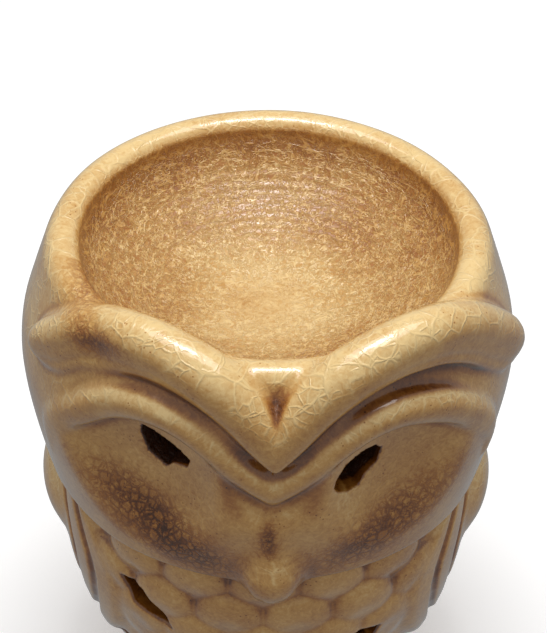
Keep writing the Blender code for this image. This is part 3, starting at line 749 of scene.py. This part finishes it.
def glaze():
    """Honey crackle glaze: thin and pale on edges, brown where it pools, under a clear glossy skin. Painted
    shade darkens its hollows, steep places and the dish wall; painted glints lighten the strands in the
    dish.
    """
    look = Look("crackle_glaze")
    place = look.place()
    hollow, dish, stain, bare, top = (look.fact(name) for name in ("hollow", "dish", "stain", "bare", "top"))
    drift = look.noise(place, 9.0, 3.0, 0.55)
    warp = look.vector("SCALE", drift.outputs["Color"], 3.2)
    bent = look.vector("ADD", place, warp)

    # strands that run round the dish, from a noise of direction and radius
    flat = look.vector("ADD", look.vector("MULTIPLY", place, (1.0, 1.0, 0.0)), (0.0, -AXIS_Y, 0.0))
    length = look.node("ShaderNodeVectorMath", {0: flat}, operation="LENGTH").outputs["Value"]
    round_dish = look.noise(look.vector("NORMALIZE", flat), 0.24, 3.0, 0.6, 0.5, noise_dimensions="4D")
    look.feed(round_dish.inputs["W"], look.times(length, 0.16))
    long_strands = look.strands(round_dish.outputs["Fac"], 0.030)
    swirl = look.noise(bent, 2.1, 2.0, 0.55, 0.8)
    short_strands = look.strands(swirl.outputs["Fac"], 0.050)
    grain = look.noise(bent, 0.95, 2.0, 0.6, 0.9)
    squiggles = look.strands(grain.outputs["Fac"], 0.055)
    net = look.cracks(bent, 5.2, 0.34)
    side_net = look.cracks(bent, 2.6, 0.26)
    patches = look.noise(place, 6.0, 2.0)
    net = look.largest(net, look.times(side_net, look.fade(patches.outputs["Fac"], 0.44, 0.58)))

    wall = look.times(dish, look.fade(length, 10.0, 27.0))
    busy = look.largest(look.times(dish, look.fade(length, 0.0, 20.0, 0.35, 1.0)), stain)
    calm = look.math("SUBTRACT", 1.0, look.largest(dish, stain), clamp=True)

    # how dark the glaze colour goes: cloudy, pooled in hollows with painted shade there too, thicker in the
    # dish with painted shade on its wall, and painted shade on steep places
    cloud = look.noise(place, 14.0, 4.0, 0.6)
    clouds = look.fade(cloud.outputs["Fac"], 0.35, 0.7, 0.0, 0.14)
    # grooves are browner: partly glaze pooled in them, partly painted shade
    pooled_and_shaded = look.times(look.fade(hollow, 0.04, 0.6), 0.6)
    # painted shade: places that do not face up are made browner, as the overhead light reaches them less
    steep = look.fade(top, -0.1, 0.75, 0.27, 0.0)
    grains = look.times(look.math("SUBTRACT", grain.outputs["Fac"], 0.5), 0.40)
    # the dish wall is browner than the dish's middle: partly thicker glaze, partly painted shade
    depth = look.add(clouds, pooled_and_shaded, look.times(wall, 0.26), look.times(dish, 0.13), look.times(stain, 0.34),
                     steep, grains)

    # pale strands in the dish, partly painted glints, a brown maze in the stains, and a pale net on the
    # brows and lids
    lines = look.largest(look.times(long_strands, wall), look.times(short_strands, look.times(busy, 0.8)))
    lines = look.largest(lines, look.times(squiggles, look.times(busy, 0.7)))
    lifted = look.times(look.fade(hollow, 0.3, 0.02), look.fade(top, -0.1, 0.5))
    pale_net = look.times(look.times(net, calm), lifted)
    maze = look.times(look.largest(look.cracks(bent, 1.9, 0.42), short_strands), stain)
    # the strands are paler outside the stains: partly pale glaze, partly painted glints
    line_depth_and_glints = look.times(lines, look.fade(stain, 0.1, 0.5, -0.32, 0.2))
    depth = look.add(depth, look.times(maze, 0.34), line_depth_and_glints, look.times(pale_net, -0.13))

    speck = look.node("ShaderNodeTexVoronoi", {"Vector": place, "Scale": 1.0 / 1.25, "Randomness": 1.0})
    dots = look.times(look.fade(speck.outputs["Distance"], 0.10, 0.16, 1.0, 0.0),
                      look.fade(look.noise(place, 7.0, 1.0).outputs["Fac"], 0.50, 0.62))
    depth = look.add(depth, look.times(look.times(dots, calm), 0.35))
    colour = look.ramp(look.largest(depth, 0.0), GLAZE_DEPTHS)
    biscuit = look.ramp(look.noise(place, 1.3, 4.0, 0.7).outputs["Fac"], BISCUIT)
    colour = look.blend(bare, colour, biscuit)

    relief = look.add(look.times(lines, 1.0), look.times(maze, -1.0), look.times(pale_net, 0.8),
                      look.times(grain.outputs["Fac"], 0.35))
    rings = look.node("ShaderNodeTexWave", {"Vector": flat, "Scale": 0.16, "Distortion": 1.2, "Detail": 1.0},
                      wave_type="RINGS", rings_direction="SPHERICAL")
    relief = look.add(relief, look.times(look.times(rings.outputs["Fac"], wall), 0.6))
    skin = look.bump(relief, 0.9, 0.14)
    waves = look.bump(look.noise(place, 7.0, 1.0).outputs["Fac"], 0.4, 0.25)
    coat = look.bump(relief, look.add(look.times(busy, 0.7), 0.12), 0.16, waves)
    uncoated = look.largest(bare, look.times(stain, 0.65))
    return look.finish(
        Base_Color=colour, Normal=skin, IOR=1.5,
        Roughness=look.add(look.times(bare, 0.6), look.times(stain, 0.2), 0.30),
        Coat_Weight=look.math("SUBTRACT", 1.0, uncoated),
        Coat_Roughness=look.add(look.times(wall, 0.22), 0.03),
        Coat_IOR=1.55, Coat_Normal=coat)


def wax():
    look = Look("candle_wax")
    place = look.place()
    mottle = look.noise(place, 3.0, 3.0)
    colour = look.ramp(mottle.outputs["Fac"], [(0.3, (0.86, 0.82, 0.70)), (0.7, (0.93, 0.91, 0.83))])
    skin = look.bump(look.noise(place, 2.2, 2.0).outputs["Fac"], 0.3, 0.12)
    return look.finish(Base_Color=colour, Roughness=0.38, Normal=skin, Subsurface_Weight=0.4,
                       Subsurface_Scale=1.5 * MM)


def metal(name, low, high, rough):
    """Thin rolled sheet, with faint rolling marks and small dents."""
    look = Look(name)
    place = look.place()
    grain = look.noise(look.vector("MULTIPLY", place, (0.15, 3.0, 3.0)), 0.5, 3.0)
    dents = look.noise(place, 2.6, 2.0)
    colour = look.ramp(grain.outputs["Fac"], [(0.3, low), (0.7, high)])
    skin = look.bump(look.add(look.times(grain.outputs["Fac"], 0.2), dents.outputs["Fac"]), 0.3, 0.10)
    roughness = look.fade(dents.outputs["Fac"], 0.3, 0.7, rough, rough + 0.12)
    return look.finish(Base_Color=colour, Metallic=1.0, Roughness=roughness, Normal=skin)


def felt():
    look = Look("felt")
    place = look.place()
    fibres = look.noise(place, 0.25, 5.0, 0.75, 1.5)
    colour = look.ramp(fibres.outputs["Fac"], [(0.3, (0.045, 0.028, 0.018)), (0.7, (0.14, 0.09, 0.06))])
    return look.finish(Base_Color=colour, Roughness=0.95, Normal=look.bump(fibres.outputs["Fac"], 0.8, 0.15),
                       Sheen_Weight=0.4)


def cotton(burnt_from):
    """Waxed cotton braid, with a darker tip above a height in mm."""
    look = Look("cotton_wick")
    place = look.place()
    fibres = look.noise(place, 0.22, 4.0, 0.7, 1.0)
    pale = look.ramp(fibres.outputs["Fac"], [(0.3, (0.62, 0.55, 0.42)), (0.7, (0.88, 0.84, 0.74))])
    height = look.node("ShaderNodeSeparateXYZ", {0: place}).outputs["Z"]
    colour = look.blend(look.fade(height, burnt_from, burnt_from + 1.6), pale, (0.03, 0.025, 0.02, 1.0))
    return look.finish(Base_Color=colour, Roughness=0.85, Normal=look.bump(fibres.outputs["Fac"], 0.6, 0.08))


def paper():
    look = Look("studio_paper")
    fibres = look.noise(look.place(), 1.1, 3.0)
    colour = look.ramp(fibres.outputs["Fac"], [(0.3, (0.93, 0.93, 0.93)), (0.7, (0.96, 0.96, 0.96))])
    return look.finish(Base_Color=colour, Roughness=0.8, Emission_Color=(1.0, 1.0, 1.0, 1.0),
                       Emission_Strength=0.28)


# ---------------------------------------------------------------- the pieces


def show(piece, body, nodes, material):
    piece.data.materials.append(material)
    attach(piece, body)
    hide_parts(*nodes)


def lathe(name, outline, steps, wobble=None, centre=(0.0, 0.0)):
    """A closed solid turned about an upright axis, from a closed outline of (radius, height) in mm.
    wobble(angles, radii, heights) gives the radii back with flutes or the like."""
    outline = np.array(outline, float)
    angles = np.arange(steps) * math.tau / steps
    turn, radius = np.meshgrid(angles, outline[:, 0], indexing="ij")
    height = np.broadcast_to(outline[:, 1], radius.shape)
    if wobble:
        radius = wobble(turn, radius, height)
    across, along = radius * np.sin(turn), -radius * np.cos(turn)
    spots = np.stack([across + centre[0], along + centre[1] + AXIS_Y, height], -1)
    count = len(outline)
    mesh = bpy.data.meshes.new(name)
    shape = bmesh.new()
    corners = [shape.verts.new(spot) for spot in spots.reshape(-1, 3) * MM]
    for i in range(steps):
        for j in range(count):
            after_i, after_j = (i + 1) % steps, (j + 1) % count
            shape.faces.new([corners[i * count + j], corners[after_i * count + j],
                             corners[after_i * count + after_j], corners[i * count + after_j]])
    bmesh.ops.remove_doubles(shape, verts=shape.verts, dist=0.001 * MM)
    bmesh.ops.dissolve_degenerate(shape, edges=shape.edges, dist=0.001 * MM)
    bmesh.ops.recalc_face_normals(shape, faces=shape.faces)
    shape.to_mesh(mesh)
    shape.free()
    mesh.shade_smooth()
    piece = bpy.data.objects.new(name, mesh)
    bpy.context.scene.collection.objects.link(piece)
    return piece


def upwards(points, outwards):
    return outwards[:, 2]


CLAY = glaze()
GRID = 1.0  # step of the sculpting grid
head = sculpt("glazed_head", head_field, (-54, -57, 62), (54, 54, 131), GRID,
              {"hollow": hollowness(head_field), "dish": in_dish, "stain": head_stain, "bare": nowhere,
               "top": upwards})
show(head, BURNER, ["head_shell", "oil_dish", "brow_ridge", "beak"], CLAY)
body = sculpt("glazed_body", body_field, (-54, -54, 0), (54, 54, 77), GRID,
              {"hollow": hollowness(body_field), "dish": nowhere, "stain": body_stain, "bare": unglazed,
               "top": upwards})
show(body, BURNER, ["body_shell", "breast_feathers", "left_wing", "right_wing", "left_foot", "right_foot",
                    "base_disc"], CLAY)

FELT = felt()
for number in range(1, 5):
    low, high = box_mm(f"felt_pad_{number}")
    middle = ((low[0] + high[0]) / 2, (low[1] + high[1]) / 2 - AXIS_Y)
    pad_r, pad_foot, pad_top, soft = (high[0] - low[0]) / 2, low[2], high[2], 0.35
    pad_side = [(pad_r - soft, pad_foot), (pad_r, pad_foot + soft), (pad_r, pad_top - soft),
                (pad_r - soft, pad_top)]
    pad = lathe(f"pad_{number}", [(0, pad_foot), *pad_side, (0, pad_top)], 48, centre=middle)
    show(pad, BURNER, [f"felt_pad_{number}"], FELT)

cup_low, cup_high = box_mm("candle_cup")
CUP_R = cup_high[0] - 0.5
CUP_FOOT, CUP_TOP = cup_low[2], cup_high[2]
SHEET = 0.25  # thickness of the aluminium
FLUTES = 44
FLUTE_DEPTH = 0.16


def flutes(angles, radii, heights):
    """Pressed flutes up the side of the cup."""
    side = smoothstep(CUP_FOOT + 1.0, CUP_FOOT + 3.0, heights)
    side = side * (1 - smoothstep(CUP_TOP - 2.5, CUP_TOP - 1.2, heights)) * (radii > CUP_R - 2.0)
    return radii + FLUTE_DEPTH * np.cos(FLUTES * angles) * side


outer = curve_through([(0, CUP_FOOT + 0.5), (9, CUP_FOOT + 0.5), (13, CUP_FOOT), (CUP_R - 1.4, CUP_FOOT),
                       (CUP_R - 0.35, CUP_FOOT + 0.9), (CUP_R - 0.2, CUP_FOOT + 4),
                       (CUP_R - 0.2, CUP_FOOT + 8), (CUP_R - 0.2, CUP_TOP - 2.0), (CUP_R, CUP_TOP - 0.7),
                       (CUP_R + 0.45, CUP_TOP - 0.35)], 4)
inner = outer[:-1].copy()
inner[:, 0] = np.maximum(inner[:, 0] - SHEET, 0.0)
inner[:, 1] += SHEET * 0.8
lip_roll = [(CUP_R + 0.5, CUP_TOP - 0.15), (CUP_R + 0.3, CUP_TOP), (CUP_R, CUP_TOP - 0.1)]
cup = lathe("tealight_cup", [*outer, *lip_roll, *inner[::-1]], 264, flutes)
ALUMINIUM = metal("aluminium", (0.70, 0.70, 0.72), (0.86, 0.86, 0.88), 0.24)
show(cup, TEALIGHT, ["candle_cup"], ALUMINIUM)

wax_low, wax_high = box_mm("candle_wax")
WAX_R, WAX_FOOT = wax_high[0], wax_low[2]
WAX_TOP = wax_high[2] - 0.6
tin_low, tin_high = box_mm("wick_sustainer")
TIN_R, TIN_FOOT, TIN_TOP = tin_high[0], tin_low[2], tin_high[2]
COLLAR_R, COLLAR_BORE, WICK_R = 1.6, 1.1, 0.8
TIN_SHEET, WAX_GAP = 0.35, 0.3
WAX_BORE = 1.15
wax_side = [(WAX_R - 0.6, WAX_FOOT), (WAX_R, WAX_FOOT + 1.0), (WAX_R, WAX_TOP)]
wax_top = curve_through([(WAX_R, WAX_TOP + 0.6), (WAX_R - 0.7, WAX_TOP + 0.2), (WAX_R - 2.0, WAX_TOP),
                         (10, WAX_TOP - 0.1), (5, WAX_TOP - 0.15), (2.4, WAX_TOP - 0.25),
                         (1.6, WAX_TOP + 0.1), (WAX_BORE, WAX_TOP + 0.5)], 4)
round_tin = [(WAX_BORE, TIN_TOP + WAX_GAP), (COLLAR_R + WAX_GAP, TIN_TOP + WAX_GAP),
             (COLLAR_R + WAX_GAP, TIN_FOOT + 0.7), (TIN_R + WAX_GAP, TIN_FOOT + 0.7)]
cake = lathe("wax_cake", [(TIN_R + WAX_GAP, WAX_FOOT), *wax_side, *wax_top, *round_tin], 96)
show(cake, TEALIGHT, ["candle_wax"], wax())

tin = lathe("sustainer", [(0, TIN_FOOT), (TIN_R, TIN_FOOT), (TIN_R, TIN_FOOT + TIN_SHEET),
                          (COLLAR_R + 0.5, TIN_FOOT + TIN_SHEET), (COLLAR_R, TIN_FOOT + 0.8),
                          (COLLAR_R, TIN_TOP), (COLLAR_BORE, TIN_TOP), (COLLAR_BORE, TIN_FOOT + TIN_SHEET),
                          (0, TIN_FOOT + TIN_SHEET)], 48)
TIN = metal("tin", (0.48, 0.47, 0.45), (0.66, 0.65, 0.63), 0.32)
show(tin, TEALIGHT, ["wick_sustainer"], TIN)

wick_low, wick_high = box_mm("candle_wick")
WICK_FOOT, WICK_TIP = wick_low[2], wick_high[2]


def braid(angles, radii, heights):
    """Three plaited strands."""
    return radii * (0.86 + 0.14 * np.cos(3 * angles + 2.4 * heights) * np.cos(1.9 * heights + angles))


wick_side = [(WICK_R, z) for z in np.linspace(WICK_FOOT + 0.2, WICK_TIP - 0.5, 60)]
wick_outline = [(0, WICK_FOOT), (0.6, WICK_FOOT), *wick_side, (0.45, WICK_TIP), (0, WICK_TIP)]
wick = lathe("wick", wick_outline, 24, braid)
show(wick, TEALIGHT, ["candle_wick"], cotton(WICK_TIP - 2.6))

# ---------------------------------------------------------------- the studio

floor = bpy.data.objects.new("floor", bpy.data.meshes.new("floor"))
plane = bmesh.new()
bmesh.ops.create_grid(plane, x_segments=1, y_segments=1, size=3.0)
plane.to_mesh(floor.data)
plane.free()
bpy.context.scene.collection.objects.link(floor)
floor.data.materials.append(paper())
floor.visible_diffuse = False
floor.visible_glossy = False


def softbox(name, place, size, power):
    """A rectangular light that faces the dish."""
    light = bpy.data.lights.new(name, "AREA")
    light.shape = "RECTANGLE"
    light.size, light.size_y = size
    light.energy = power
    lamp = bpy.data.objects.new(name, light)
    lamp.location = place
    lamp.rotation_euler = (Vector((0, 0, 0.1)) - lamp.location).to_track_quat("-Z", "Y").to_euler()
    bpy.context.scene.collection.objects.link(lamp)


softbox("overhead_box", (0, 0.05, 0.66), (0.55, 0.36), 1.65)
softbox("overhead_lamp", (0, 0.05, 0.655), (0.22, 0.12), 0.85)

# a pale room that is brighter above than below
room = bpy.data.worlds.new("room")
bpy.context.scene.world = room
room.use_nodes = True
nodes, links = room.node_tree.nodes, room.node_tree.links
height = nodes.new("ShaderNodeSeparateXYZ")
links.new(nodes.new("ShaderNodeTexCoord").outputs["Generated"], height.inputs[0])
glow = nodes.new("ShaderNodeMapRange")
glow.interpolation_type = "SMOOTHSTEP"
links.new(height.outputs["Z"], glow.inputs["Value"])
for key, value in {"From Min": -0.35, "From Max": 0.45, "To Min": 0.31, "To Max": 0.42}.items():
    glow.inputs[key].default_value = value
links.new(glow.outputs["Result"], nodes["Background"].inputs["Strength"])
nodes["Background"].inputs["Color"].default_value = (1.0, 1.0, 1.0, 1.0)

CAMERA_LIFT = math.radians(40.0)
CAMERA_ROLL = math.radians(0.9)
CAMERA_DISTANCE = 0.350
CAMERA_AIM = Vector((0.00113, AXIS_Y * MM, 0.09715))
forward = Vector((0.0, math.cos(CAMERA_LIFT), -math.sin(CAMERA_LIFT)))
camera = bpy.data.objects.new("camera", bpy.data.cameras.new("camera"))
bpy.context.scene.collection.objects.link(camera)
camera.location = CAMERA_AIM - forward * CAMERA_DISTANCE
upright = forward.to_track_quat("-Z", "Y").to_matrix()
camera.rotation_euler = (upright @ Matrix.Rotation(CAMERA_ROLL, 3, "Z")).to_euler()
camera.data.sensor_width = 36.0
camera.data.lens = 97.5
camera.data.clip_start = 0.01
bpy.context.scene.camera = camera
bpy.context.scene.view_settings.view_transform = "Standard"
